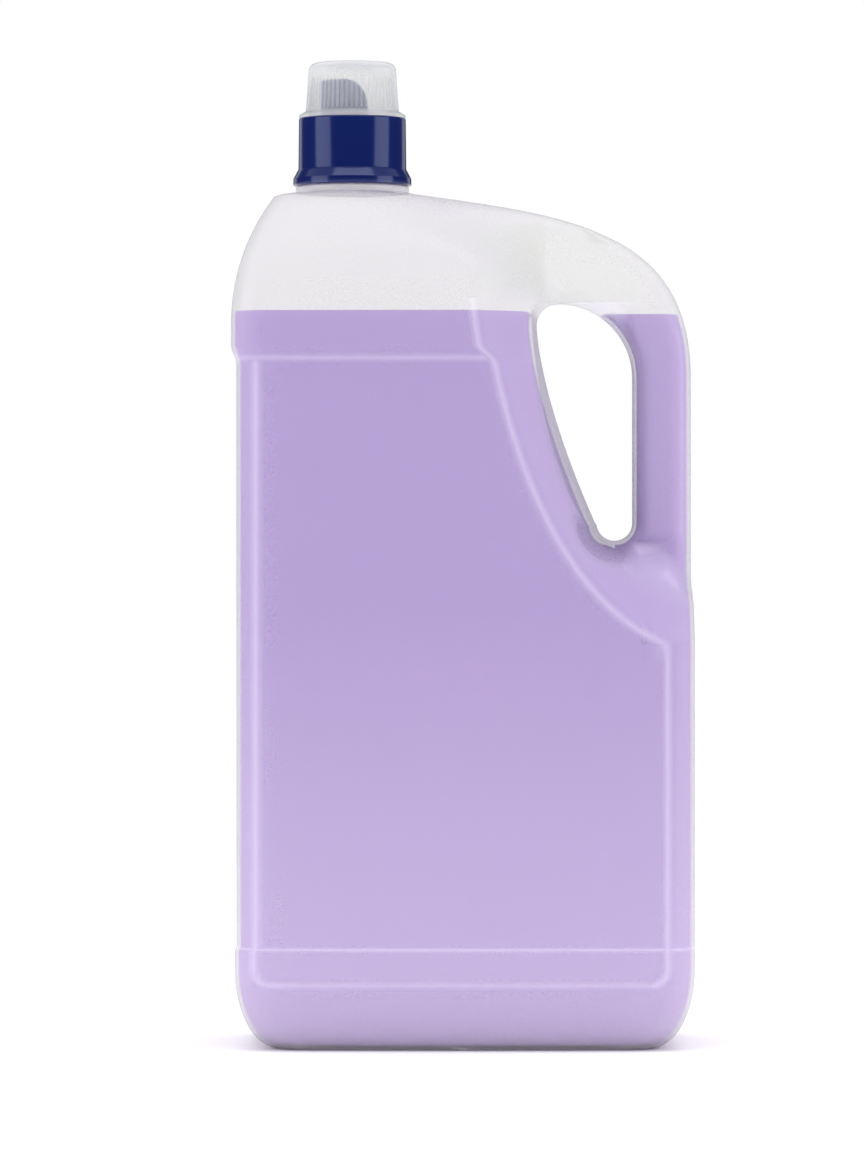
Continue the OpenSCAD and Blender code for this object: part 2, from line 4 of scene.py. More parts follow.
import bmesh
import bpy
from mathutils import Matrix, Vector


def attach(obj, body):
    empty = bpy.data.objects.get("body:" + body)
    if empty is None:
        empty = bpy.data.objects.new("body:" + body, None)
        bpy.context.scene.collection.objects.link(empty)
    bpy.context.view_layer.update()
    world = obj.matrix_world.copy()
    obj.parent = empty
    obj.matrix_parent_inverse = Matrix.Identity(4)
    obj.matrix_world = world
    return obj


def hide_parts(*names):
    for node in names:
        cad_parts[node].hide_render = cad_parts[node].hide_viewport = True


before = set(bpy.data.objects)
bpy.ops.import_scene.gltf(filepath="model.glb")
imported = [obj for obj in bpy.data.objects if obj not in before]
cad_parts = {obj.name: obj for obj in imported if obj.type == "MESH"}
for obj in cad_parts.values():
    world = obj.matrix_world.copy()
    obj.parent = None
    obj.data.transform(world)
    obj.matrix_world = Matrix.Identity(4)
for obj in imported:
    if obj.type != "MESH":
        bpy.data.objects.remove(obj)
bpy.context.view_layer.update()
scene = bpy.context.scene
mm = 0.001


def mix(a, b, t):
    return a + (b - a) * t


def ease(a, b, v):
    t = min(1.0, max(0.0, (v - a) / (b - a)))
    return t * t * (3 - 2 * t)


def chord(radius, rise):
    return math.sqrt(max(0.0, radius * radius - rise * rise))


def curve(p, t):
    s = 1 - t
    w = (s * s * s, 3 * s * s * t, 3 * s * t * t, t * t * t)
    return (sum(w[k] * p[k][0] for k in range(4)), sum(w[k] * p[k][1] for k in range(4)))


# Materials: groups give masks, values and normals, and each material keeps its own shaders

def newGroup(name, inputs, outputs):
    group = bpy.data.node_groups.new(name, "ShaderNodeTree")
    for label, kind, value in inputs:
        socket = group.interface.new_socket(label, in_out="INPUT", socket_type=kind)
        socket.default_value = value
    for label, kind in outputs:
        group.interface.new_socket(label, in_out="OUTPUT", socket_type=kind)
    start = group.nodes.new("NodeGroupInput")
    end = group.nodes.new("NodeGroupOutput")
    return group, start, end


def mathNode(tree, operation, a, b):
    node = tree.nodes.new("ShaderNodeMath")
    node.operation = operation
    for k, v in enumerate((a, b)):
        if isinstance(v, (int, float)):
            node.inputs[k].default_value = v
        else:
            tree.links.new(v, node.inputs[k])
    return node.outputs[0]


def grainGroup():
    group, start, end = newGroup(
        "mouldedGrain",
        [("Fine Scale", "NodeSocketFloat", 900.0), ("Wave Scale", "NodeSocketFloat", 22.0),
         ("Roughness", "NodeSocketFloat", 0.35), ("Spread", "NodeSocketFloat", 0.1),
         ("Bump", "NodeSocketFloat", 0.1)],
        [("Roughness", "NodeSocketFloat"), ("Normal", "NodeSocketVector")])
    place = group.nodes.new("ShaderNodeTexCoord")
    fine = group.nodes.new("ShaderNodeTexNoise")
    wave = group.nodes.new("ShaderNodeTexNoise")
    fine.inputs["Detail"].default_value = 3.0
    wave.inputs["Detail"].default_value = 2.0
    for node, label in ((fine, "Fine Scale"), (wave, "Wave Scale")):
        group.links.new(place.outputs["Object"], node.inputs["Vector"])
        group.links.new(start.outputs[label], node.inputs["Scale"])
    both = mathNode(group, "ADD", mathNode(group, "MULTIPLY", fine.outputs["Fac"], 0.4),
                    mathNode(group, "MULTIPLY", wave.outputs["Fac"], 0.6))
    offset = mathNode(group, "SUBTRACT", both, 0.5)
    rough = mathNode(group, "ADD", start.outputs["Roughness"],
                     mathNode(group, "MULTIPLY", offset, start.outputs["Spread"]))
    bump = group.nodes.new("ShaderNodeBump")
    bump.inputs["Distance"].default_value = 0.0006
    group.links.new(start.outputs["Bump"], bump.inputs["Strength"])
    group.links.new(both, bump.inputs["Height"])
    group.links.new(rough, end.inputs["Roughness"])
    group.links.new(bump.outputs["Normal"], end.inputs["Normal"])
    return group


def heightGroup():
    group, start, end = newGroup(
        "heightBlend",
        [("Low", "NodeSocketFloat", 0.0), ("High", "NodeSocketFloat", 0.3),
         ("Low Colour", "NodeSocketColor", (1, 1, 1, 1)), ("High Colour", "NodeSocketColor", (1, 1, 1, 1)),
         ("Cloud", "NodeSocketFloat", 0.04)],
        [("Colour", "NodeSocketColor")])
    place = group.nodes.new("ShaderNodeTexCoord")
    split = group.nodes.new("ShaderNodeSeparateXYZ")
    group.links.new(place.outputs["Object"], split.inputs[0])
    span = group.nodes.new("ShaderNodeMapRange")
    group.links.new(split.outputs["Z"], span.inputs["Value"])
    group.links.new(start.outputs["Low"], span.inputs["From Min"])
    group.links.new(start.outputs["High"], span.inputs["From Max"])
    cloud = group.nodes.new("ShaderNodeTexNoise")
    cloud.inputs["Scale"].default_value = 9.0
    cloud.inputs["Detail"].default_value = 2.0
    group.links.new(place.outputs["Object"], cloud.inputs["Vector"])
    offset = mathNode(group, "SUBTRACT", cloud.outputs["Fac"], 0.5)
    drift = mathNode(group, "MULTIPLY", offset, start.outputs["Cloud"])
    mask = mathNode(group, "ADD", span.outputs["Result"], drift)
    blend = group.nodes.new("ShaderNodeMix")
    blend.data_type = "RGBA"
    group.links.new(mask, blend.inputs["Factor"])
    group.links.new(start.outputs["Low Colour"], blend.inputs["A"])
    group.links.new(start.outputs["High Colour"], blend.inputs["B"])
    group.links.new(blend.outputs["Result"], end.inputs["Colour"])
    return group


grain = grainGroup()
byHeight = heightGroup()


def addGroup(tree, group, **values):
    node = tree.nodes.new("ShaderNodeGroup")
    node.node_tree = group
    for label, value in values.items():
        node.inputs[label.replace("_", " ")].default_value = value
    return node


def startMaterial(name):
    material = bpy.data.materials.new(name)
    material.use_nodes = True
    tree = material.node_tree
    tree.nodes.clear()
    out = tree.nodes.new("ShaderNodeOutputMaterial")
    main = tree.nodes.new("ShaderNodeBsdfPrincipled")
    tree.links.new(main.outputs[0], out.inputs["Surface"])
    return material, tree, main, out


def mixColour(tree, factor, a, b, way="MIX"):
    node = tree.nodes.new("ShaderNodeMix")
    node.data_type = "RGBA"
    node.blend_type = way
    tree.links.new(factor, node.inputs["Factor"])
    for label, v in (("A", a), ("B", b)):
        if isinstance(v, tuple):
            node.inputs[label].default_value = (*v, 1)
        else:
            tree.links.new(v, node.inputs[label])
    return node.outputs["Result"]


def attributeNode(tree, name):
    node = tree.nodes.new("ShaderNodeAttribute")
    node.attribute_name = name
    return node.outputs["Fac"]


# Painted shade on the slope above the grip hole: its colour tint and how much it clouds the skin
slopeTint = (0.86, 0.89, 0.84)
# Ridge weight: painted highlight on the bottle's edges, thicker plastic on the cap's crests
ridgeHazeAndHighlight, slopeHaze = 0.85, 0.3


# Translucent skin: a satin surface that passes light, clearest face on and hazier at a slant; on a ridge it is
# paler and hazier (painted highlight on the bottle, thicker plastic on the cap), and on the slope mask greyer
# (painted shade)
def skinMaterial(name, look):
    material, tree, main, out = startMaterial(name)
    main.inputs["IOR"].default_value = 1.5
    slope, ridge = attributeNode(tree, "slope"), attributeNode(tree, "ridge")
    slant = tree.nodes.new("ShaderNodeLayerWeight")
    slant.inputs["Blend"].default_value = 0.35
    outline = tree.nodes.new("ShaderNodeMapRange")
    outline.inputs["From Min"].default_value = 0.45
    tree.links.new(slant.outputs["Facing"], outline.inputs["Value"])
    # Painted shade: on the slope mask the colour turns greyer
    shadedColour = tuple(c * t for c, t in zip(look["colour"], slopeTint))
    tint = mixColour(tree, slope, look["colour"], shadedColour)
    # Painted highlight: on a ridge the colour turns to the ridge colour, pale on the bottle (thicker plastic on
    # the cap)
    pale = mixColour(tree, ridge, tint, look["thickAndPaintedLight"])
    skin = mixColour(tree, outline.outputs["Result"], pale, look["outline"], "MULTIPLY")
    texture = addGroup(tree, grain, Wave_Scale=look["waveScale"], Roughness=look["roughness"],
                       Spread=look["spread"], Bump=look["bump"])
    tree.links.new(skin, main.inputs["Base Color"])
    tree.links.new(texture.outputs["Roughness"], main.inputs["Roughness"])
    tree.links.new(texture.outputs["Normal"], main.inputs["Normal"])
    back = tree.nodes.new("ShaderNodeBsdfTranslucent")
    tree.links.new(skin, back.inputs["Color"])
    tree.links.new(texture.outputs["Normal"], back.inputs["Normal"])
    body = tree.nodes.new("ShaderNodeMixShader")
    body.inputs[0].default_value = look["passing"]
    tree.links.new(main.outputs[0], body.inputs[1])
    tree.links.new(back.outputs[0], body.inputs[2])
    # Less clear at a slant, and on the ridges and the slope mask as part of the painted highlight and painted
    # shade
    thickAndPaintedLight = mathNode(tree, "MAXIMUM", slant.outputs["Facing"], mathNode(tree, "MULTIPLY", ridge, ridgeHazeAndHighlight))
    thickAndPaintedLight = mathNode(tree, "MAXIMUM", thickAndPaintedLight, mathNode(tree, "MULTIPLY", slope, slopeHaze))
    share = tree.nodes.new("ShaderNodeMapRange")
    tree.links.new(thickAndPaintedLight, share.inputs["Value"])
    share.inputs["To Min"].default_value = 1 - look["clear"]
    share.inputs["To Max"].default_value = 1 - look["slantClear"]
    through = tree.nodes.new("ShaderNodeBsdfTransparent")
    through.inputs["Color"].default_value = (0.965, 0.965, 0.955, 1)
    final = tree.nodes.new("ShaderNodeMixShader")
    tree.links.new(share.outputs["Result"], final.inputs[0])
    tree.links.new(through.outputs[0], final.inputs[1])
    tree.links.new(body.outputs[0], final.inputs[2])
    tree.links.new(final.outputs[0], out.inputs["Surface"])
    return material


# Opaque material with a colour that changes with height
def solidMaterial(name, look):
    material, tree, main, out = startMaterial(name)
    tint = addGroup(tree, byHeight, Low=look["fromZ"], High=look["toZ"], Low_Colour=(*look["low"], 1),
                    High_Colour=(*look["high"], 1), Cloud=look["cloud"])
    texture = addGroup(tree, grain, Roughness=look["roughness"], Spread=look["spread"], Bump=look["bump"])
    main.inputs["IOR"].default_value = 1.45
    main.inputs["Specular IOR Level"].default_value = look["specular"]
    main.inputs["Specular Tint"].default_value = (*look["specularTint"], 1)
    tree.links.new(tint.outputs["Colour"], main.inputs["Base Color"])
    tree.links.new(texture.outputs["Roughness"], main.inputs["Roughness"])
    tree.links.new(texture.outputs["Normal"], main.inputs["Normal"])
    return material


# The shell's ridge colour is the pale of its painted highlights
shellLook = skinMaterial("shellPlastic", {
    "colour": (0.74, 0.74, 0.73), "thickAndPaintedLight": (0.93, 0.92, 0.95), "outline": (0.72, 0.73, 0.74),
    "roughness": 0.27, "spread": 0.1, "bump": 0.01, "waveScale": 16.0,
    "clear": 0.7, "slantClear": 0.42, "passing": 0.45})
neckLook = skinMaterial("neckPlastic", {
    "colour": (0.84, 0.84, 0.84), "thickAndPaintedLight": (0.93, 0.92, 0.95), "outline": (0.9, 0.9, 0.9),
    "roughness": 0.3, "spread": 0.1, "bump": 0.05, "waveScale": 30.0,
    "clear": 0.3, "slantClear": 0.1, "passing": 0.4})
capLook = skinMaterial("capPlastic", {
    "colour": (0.83, 0.835, 0.855), "thickAndPaintedLight": (0.72, 0.73, 0.77), "outline": (0.6, 0.62, 0.66),
    "roughness": 0.24, "spread": 0.12, "bump": 0.06, "waveScale": 40.0,
    "clear": 0.76, "slantClear": 0.15, "passing": 0.5})
# The liquid is painted lighter towards the bottom, standing in for light bounced up from the white floor
liquidLook = solidMaterial("softenerLiquid", {
    "low": (0.58, 0.435, 0.79), "high": (0.395, 0.26, 0.63), "fromZ": 0.0, "toZ": 0.17, "cloud": 0.08,
    "roughness": 0.4, "spread": 0.06, "bump": 0.02, "specular": 0.15, "specularTint": (1, 1, 1)})
navyLook = solidMaterial("navyPlastic", {
    "low": (0.002, 0.008, 0.08), "high": (0.002, 0.009, 0.085), "fromZ": 0.33, "toZ": 0.37, "cloud": 0.2,
    "roughness": 0.15, "spread": 0.08, "bump": 0.03, "specular": 0.85, "specularTint": (0.62, 0.7, 1.0)})
spoutLook = solidMaterial("spoutPlastic", {
    "low": (0.012, 0.024, 0.17), "high": (0.012, 0.024, 0.17), "fromZ": 0.33, "toZ": 0.38, "cloud": 0.2,
    "roughness": 0.25, "spread": 0.08, "bump": 0.03, "specular": 0.5, "specularTint": (1, 1, 1)})
print("materials ready")


def makePiece(name, points, faces, material, sharp=None, weld=None):
    mesh = bpy.data.meshes.new(name)
    mesh.from_pydata([[c * mm for c in p] for p in points], [], faces)
    work = bmesh.new()
    work.from_mesh(mesh)
    if weld:
        bmesh.ops.remove_doubles(work, verts=work.verts, dist=weld * mm)
        bmesh.ops.dissolve_degenerate(work, dist=1e-7, edges=work.edges)
    bmesh.ops.recalc_face_normals(work, faces=work.faces)
    work.to_mesh(mesh)
    work.free()
    mesh.polygons.foreach_set("use_smooth", [True] * len(mesh.polygons))
    if sharp:
        mesh.set_sharp_from_angle(angle=math.radians(sharp))
    piece = bpy.data.objects.new(name, mesh)
    scene.collection.objects.link(piece)
    mesh.materials.append(material)
    return piece


# Blown body, level by level, from the same sizes as the solids
body = {
    "width": 180.0, "depth": 118.0, "height": 335.5, "wall": 1.3, "corner": 13.0, "crown": 2.5,
    "recess": 2.0, "baseStep": 0.7, "baseBand": 39.5, "ledgeDrop": 65.5, "ledgeRun": 8.0,
    "baseRoundWidth": 17.0, "baseRoundHeight": 32.0, "hollow": 2.5, "ring": 13.0,
    "shoulderRise": 53.5, "endLean": 17.5, "faceLean": 29.0, "shoulderRound": 25.0, "roll": 2.5,
    "fillDrop": 48.6, "liquidGap": 0.3, "faceBaseHeight": 26.0, "crease": 0.25,
}
grip = {
    "handleWidth": 22.9, "handleThickness": 40.0, "drop": 43.9, "height": 93.5, "width": 37.8,
    "cornerRadius": 8.6, "footRadius": 7.1, "margin": 25.8, "pocketFoot": 40.6, "bevelDepth": 9.0,
    "bevelRun": 11.5, "edgeRound": 4.0, "ledgeShift": 5.0, "handleRound": 10.0, "innerRound": 8.0,
    "wallRun": 9.5, "stepDrop": 0.42, "stepLean": 0.83, "slopeReach": 27.0,
}
neck = {
    "offset": 46.5, "bore": 16.6, "wall": 2.0, "height": 15.0, "ringReach": 3.7, "ringThickness": 2.3,
    "snap": 0.7,
}

topZ = body["height"]
leftEnd = -body["width"] / 2
rightEnd = body["width"] / 2
curveZ = topZ - body["shoulderRise"]
ledgeZ = topZ - body["ledgeDrop"]
fillZ = topZ - body["fillDrop"]
rightCorner = body["corner"] - 2
neckX = leftEnd + neck["offset"]
neckRadius = neck["bore"] + neck["wall"]
ringRadius = neckRadius + neck["ringReach"]
rootRadius = ringRadius - 1
neckTop = topZ + neck["height"]
ringTop = topZ + neck["ringThickness"]
snapZ = neckTop - 6
gripRight = rightEnd - grip["handleWidth"]
gripLeft = gripRight - grip["width"]
gripTop = topZ - grip["drop"]
gripFoot = gripTop - grip["height"]
archRadius = grip["width"] - grip["cornerRadius"]
cornerZ = gripTop - grip["cornerRadius"]
archZ = gripTop - archRadius
footZ = gripFoot + grip["footRadius"]
footX = gripRight - grip["footRadius"]
crownX = gripLeft + grip["cornerRadius"]
gripLean = footX - grip["footRadius"] - 0.6 - gripLeft
pocketEnd = gripFoot - grip["pocketFoot"]
slopeFoot = gripLeft + 2.4
halfHandle = grip["handleThickness"] / 2

# Curves seen from the front: the back of the handle, the pocket's edge and the foot of its bevel
backLine = [
    (neckX + ringRadius + 5, topZ - 1), (rightEnd - 45, topZ - 9.5),
    (rightEnd, topZ - 16), (rightEnd, topZ - 73.5)]
pocketLine = [
    (gripLeft - grip["margin"], gripTop), (gripLeft - grip["margin"] + 2.5, gripTop - 30),
    (gripLeft - 6.3, gripFoot - grip["pocketFoot"] / 2), (rightEnd - body["corner"] - 3, pocketEnd)]
innerLine = [
    (gripLeft - 3.3, gripTop), (gripLeft - 1.3, gripTop - 57),
    (gripLeft + 16.7, gripFoot - grip["pocketFoot"] / 2 + 2), (rightEnd, pocketEnd + grip["bevelDepth"])]
edgeDots = [curve(pocketLine, k / 48) for k in range(49)] + [(2 * rightEnd, pocketEnd)]


def solveCurve(p, axis, value, falling):
    low, high = 0.0, 1.0
    for _ in range(30):
        m = (low + high) / 2
        further = curve(p, m)[axis] > value if falling else curve(p, m)[axis] < value
        low, high = (m, high) if further else (low, m)
    return curve(p, (low + high) / 2)[1 - axis]


def arcLean(v, rise, lean):
    r = (rise * rise + lean * lean) / (2 * lean)
    return 0.0 if v <= 0 else r - math.sqrt(r * r - v * v)


def baseLean(z):
    h = body["baseRoundHeight"]
    return 0.0 if z >= h else body["baseRoundWidth"] * (1 - math.sqrt(max(0.0, 1 - (1 - z / h) ** 2)))


# The broad faces turn under with a soft crease, lower down than the ends
def faceBaseLean(z):
    u = max(0.0, 1 - z / body["faceBaseHeight"])
    turned = 1 - math.sqrt(max(0.0, 1 - u * u))
    return body["baseRoundWidth"] * (body["crease"] * u + (1 - body["crease"]) * turned)


def bandLean(z):
    band, run = body["baseBand"], body["ledgeRun"] / 2
    low = mix(body["recess"] - body["baseStep"], body["recess"], ease(band - 1, band + 1, z))
    return low - body["recess"] * ease(ledgeZ - run, ledgeZ + run, z)


def rollShare(z):
    v = min(1.0, max(0.0, (z - topZ + body["roll"]) / body["roll"]))
    return 1 - math.sqrt(1 - v * v)


def rawRight(z):
    return mix(solveCurve(backLine, 1, z, True) - baseLean(z), neckX + rootRadius, rollShare(z))


# The handle's flat runs lower towards its outer edge before the ramp begins
def stepLine(x):
    return gripFoot - 1 - grip["stepDrop"] * max(0.0, x - footX - 3)


class Level:
    # Everything that one height fixes, worked out once
    def __init__(self, z):
        self.z = z
        self.roll = rollShare(z)
        lean = baseLean(z) + bandLean(z)
        faceLean = faceBaseLean(z) + bandLean(z)
        endLean = arcLean(z - curveZ, body["shoulderRise"], body["endLean"])
        self.left = mix(leftEnd + lean + endLean, neckX - rootRadius, self.roll)
        self.right = rawRight(z)
        topLean = arcLean(z - curveZ, body["shoulderRise"], body["faceLean"])
        self.half = mix(body["depth"] / 2 - faceLean - topLean, rootRadius, self.roll)
        self.corner = mix(body["corner"], rootRadius, ease(curveZ, topZ, z))
        self.ramp = 1 - ease(pocketEnd + grip["bevelDepth"], gripFoot, z)
        slant = min(1.3, max(0.0, rawRight(z - 1) - self.right))
        outer = mix(grip["handleRound"], rightCorner, self.ramp)
        self.flat = self.right - outer * math.sqrt(1 + slant * slant)
        self.shift = grip["ledgeShift"] * bandLean(z) / body["recess"]
        self.slopeFrom = pocketLine[0][0] - grip["slopeReach"] * ease(gripTop + 8, topZ - 9, z)
        self.hole = gripFoot - 0.01 < z < gripTop + 0.01
        if z > gripTop:
            self.edge = self.slopeFrom
        else:
            self.edge = min(solveCurve(pocketLine, 1, z, True) + self.shift, self.flat - 9)
        bevelFoot = mix(solveCurve(innerLine, 1, z, True), slopeFoot, ease(gripTop - 6, gripTop + 8, z))
        self.inner = min(bevelFoot, self.flat - 6)
        gap = 0.3 + 1.2 * ease(0, 8, max(z - gripTop, gripFoot - z))
        if self.hole:
            self.foot, self.handle = self.holeSides()
        else:
            self.foot = min(crownX if z > gripTop else max(footX, self.inner + 1), self.flat - 4)
            self.handle = self.foot + gap
        reach = self.handle + grip["innerRound"]
        if z >= archZ:
            reach = crownX + chord(archRadius + grip["innerRound"], z - archZ)
        self.near = min(max(reach, self.handle + gap), self.flat - 0.8)
        self.innerDepth = self.bevel(self.inner)

    def holeSides(self):
        z, r = self.z, grip["footRadius"]
        leanX = gripLeft + gripLean * max(0.0, (cornerZ - z) / (cornerZ - footZ)) ** 1.5
        if z >= cornerZ:
            left = crownX - chord(grip["cornerRadius"], z - cornerZ)
        elif z >= footZ:
            left = leanX
        else:
            left = max(leanX, footX - chord(r, footZ - z))
        if z >= archZ:
            right = gripRight - archRadius + chord(archRadius, z - archZ)
        elif z >= footZ:
            right = gripRight
        else:
            right = footX + chord(r, footZ - z)
        return min(left, right), right

    def face(self, x):
        return self.half - body["crown"] * (2 * x / body["width"]) ** 2 * (1 - self.roll)

    def edgeDistance(self, x):
        return 0.0 if self.z <= pocketEnd else self.edgeAway(x)

    def edgeAway(self, x):
        px, pz = x - self.shift, self.z
        best = 1e9
        for (ax, az), (bx, bz) in zip(edgeDots, edgeDots[1:]):
            wx, wz = bx - ax, bz - az
            t = min(1.0, max(0.0, ((px - ax) * wx + (pz - az) * wz) / (wx * wx + wz * wz)))
            best = min(best, math.hypot(px - ax - wx * t, pz - az - wz * t))
        return best

    def holeDistance(self, x):
        z = self.z
        if z <= footZ:
            return math.hypot(x - footX, z - footZ) - grip["footRadius"]
        if z < archZ:
            return x - gripRight
        if x < crownX:
            return math.hypot(x - crownX, z - cornerZ) - grip["cornerRadius"]
        return math.hypot(x - crownX, z - archZ) - archRadius

    def rimDistance(self, x):
        across = max(0.0, self.right - x)
        if self.z < backLine[3][1]:
            return across
        up = max(0.0, solveCurve(backLine, 0, x, False) - self.z)
        return across * up / max(1e-4, math.hypot(across, up))

    def quarter(self, distance, radius):
        return chord(1, 1 - min(1.0, max(0.0, distance / radius)))

    def fullRound(self, distance, radius):
        return max(0.0, 1 - (1 - min(1.0, max(0.0, distance / radius))) ** 3) ** (1 / 3)

    def handleDepth(self, x):
        return (halfHandle * self.fullRound(self.rimDistance(x), grip["handleRound"])
                * self.fullRound(self.holeDistance(x), grip["innerRound"]))

    def bevel(self, x):
        d, r = self.edgeDistance(x), grip["edgeRound"]
        way = d * d / r / 2 if d < r else d - r / 2
        return self.face(x) - way * grip["bevelDepth"] / grip["bevelRun"]

    def lower(self, x):
        stepTop = stepLine(x)
        stepEnd = gripFoot - 5 - grip["stepLean"] * max(0.0, x - footX - 3)
        over = min(1.0, max(0.0, (x - self.flat) / (self.right - self.flat)))
        wall = min(1.0, max(0.0, self.holeDistance(x) / grip["wallRun"]))
        rampY = self.bevel(x) * wall - rightCorner * mix(1 - chord(1, over), over, 0.14)
        step = ease(0, 1, (stepTop - self.z) / (stepTop - stepEnd))
        return mix(self.handleDepth(x), rampY, max(step, 1 - ease(footX, footX + 6, x)))

    def shoulder(self, x):
        rounding = self.quarter(self.rimDistance(x), body["shoulderRound"])
        return self.face(x) * mix(1, rounding, ease(neckX, backLine[0][0] + 10, x))

    def upper(self, x):
        t = min(1.0, max(0.0, (x - self.slopeFrom) / (slopeFoot - self.slopeFrom)))
        return mix(self.shoulder(x), self.handleDepth(x), t * t * (2 - t))

    def beside(self, x):
        if x <= self.inner:
            return self.bevel(x)
        if x <= self.foot:
            low = self.handleDepth(self.foot) if self.z > gripTop else 0.0
            return mix(low, self.innerDepth, (self.foot - x) / (self.foot - self.inner))
        return self.handleDepth(x)

    def pocket(self, x):
        z = self.z
        if z > gripTop + 8:
            return self.upper(x)
        if z > gripTop:
            return mix(self.beside(x), self.upper(x), ease(gripTop, gripTop + 8, z))
        return self.beside(x) if z > footZ else self.lower(x)


columns = {"corner": 12, "face": 20, "bevel": 22, "wall": 14, "inner": 12, "outer": 16}
footColumn = 1 + columns["corner"] + columns["face"] + columns["bevel"] + columns["wall"]
pocketCount = columns["bevel"] + columns["wall"] + 1 + columns["inner"] + columns["outer"] + 2


def steps(count, first=1):
    return [k / count for k in range(first, count + 1)]


def rootPoint(angle):
    a = math.radians(angle)
    return (neckX - rootRadius * math.cos(a), rootRadius * math.sin(a))


def levelPoints(z):
    lv = Level(z)
    plain = [mix(lv.edge, lv.inner, t) for t in steps(columns["bevel"])]
    plain += [mix(lv.inner, lv.foot, t) for t in steps(columns["wall"])]
    plain += [lv.handle]
    plain += [mix(lv.near, lv.handle, math.cos(math.pi / 2 * t)) for t in steps(columns["inner"])]
    reach = mix(0.96, 1, lv.ramp)
    plain += [mix(lv.flat, lv.right, math.sin(math.pi / 2 * t * reach)) for t in steps(columns["outer"], 0)]
    plain += [lv.right]
    upper = ease(gripTop + 23, gripTop + 33, z)
    side = lv.face(lv.left + lv.corner)
    top = lv.roll
    row = [(lv.left, 0.0)]

    def blend(p, angle):
        q = rootPoint(angle)
        return (mix(p[0], q[0], top), mix(p[1], q[1], top))

    turn = math.radians(mix(78, 90, ease(curveZ, topZ - 20, z)))
    for t in steps(columns["corner"], 0):
        x = lv.left + lv.corner * (1 - math.cos(turn * t)) / (1 - math.cos(turn))
        y = side - lv.corner * (1 - math.sin(turn * t) / math.sin(turn))
        row.append(blend((x, y), 4 + 62 * t))
    for t in steps(columns["face"]):
        x = mix(lv.left + lv.corner, lv.edge, 1 - (1 - t) ** 1.8)
        row.append(blend((x, lv.shoulder(x) if z > gripTop else lv.face(x)), 66 + 24 * t))
    footAt = columns["bevel"] + columns["wall"] - 1
    for k, flat in enumerate(plain):
        even = mix(lv.edge, lv.right, math.sin(math.pi / 2 * (k + 1) / pocketCount))
        x = mix(flat, even, upper)
        if k == pocketCount - 1:
            p = (lv.right, 0.0)
        elif lv.hole and k in (footAt, footAt + 1):
            p = (flat, 0.0)
        else:
            p = (x, max(0.0, lv.pocket(x)))
        row.append(blend(p, 90 + 90 * (k + 1) / pocketCount))
    return row


def bodyHeights():
    run = body["ledgeRun"] / 2
    z = [gripFoot, gripTop, fillZ, topZ]
    z += [body["baseRoundHeight"] * (1 - math.cos(math.radians(a))) for a in range(0, 91, 6)]
    z += [body["faceBaseHeight"] + d / 2 for d in range(-6, 7)]
    z += [mix(body["baseRoundHeight"], body["baseBand"] - 1, t) for t in steps(9)]
    z += [body["baseBand"] + d / 2 for d in range(3, 8)]
    z += [mix(body["baseBand"] - 1, body["baseBand"] + 1, t) for t in steps(6)]
    z += [mix(body["baseBand"] + 1, pocketEnd, t) for t in steps(16)]
    z += [mix(pocketEnd, gripFoot, t) for t in steps(34)]
    z += [gripFoot + grip["footRadius"] * (1 - math.cos(math.radians(a))) for a in range(6, 91, 7)]
    z += [mix(footZ, ledgeZ - run, t) for t in steps(24)]
    z += [mix(ledgeZ - run, ledgeZ + run, t) for t in steps(12)]
    z += [mix(ledgeZ + run, cornerZ, t) for t in steps(5)]
    z += [cornerZ + grip["cornerRadius"] * math.sin(math.radians(a)) for a in range(6, 90, 7)]
    z += [gripTop + d for d in (0.1, 0.35, 0.8, 1.5, 2.4, 3.5, 4.8, 6.2, 8, 10, 12, 14, 16, 18, 20, 22, 24)]
    z += [solveCurve(backLine, 0, mix(rightEnd - 36, backLine[0][0] + 1, t), False) for t in steps(34)]
    z += [topZ - body["roll"] * (1 - math.sin(math.radians(a))) for a in range(0, 90, 10)]
    z.sort()
    keep = [z[0]]
    for v in z[1:]:
        exact = min(abs(v - e) for e in (gripFoot, gripTop, fillZ, topZ)) < 1e-6
        if v - keep[-1] > 0.04:
            keep.append(v)
        elif exact:
            keep[-1] = v
    return keep


def skinFaces(rows, heights, width):
    faces = []
    for side in (0, 1):
        shift = side * rows * width
        for i in range(rows - 1):
            inside = gripFoot - 0.01 < heights[i] and heights[i + 1] < gripTop + 0.01
            for j in range(width - 1):
                if inside and j == footColumn:
                    continue
                a = shift + i * width + j
                quad = [a, a + 1, a + width + 1, a + width]
                faces.append(quad if side == 0 else quad[::-1])
    return faces


heights = bodyHeights()
rowPoints = [levelPoints(z) for z in heights]
width = len(rowPoints[0])


# The slope above the grip hole and the step below it blend softly, as blown plastic does
def depthAt(row, places, x):
    k = min(max(bisect.bisect(places, x), 1), len(row) - 1)
    (ax, ay), (bx, by) = row[k - 1], row[k]
    return mix(ay, by, min(1.0, max(0.0, (x - ax) / max(1e-6, bx - ax))))


def softShare(z, x, right):
    above = ease(gripTop + 0.5, gripTop + 4, z) * (1 - ease(gripTop + 22, gripTop + 30, z))
    above *= ease(slopeFoot - 16, slopeFoot - 8, x) * ease(6, 16, right - x)
    below = ease(pocketEnd + 3, pocketEnd + 9, z) * (1 - ease(stepLine(x) - 3, stepLine(x) + 4, z))
    below *= ease(footX + 2, footX + 8, x) * ease(2, 8, right - x)
    return max(0.6 * above, below)


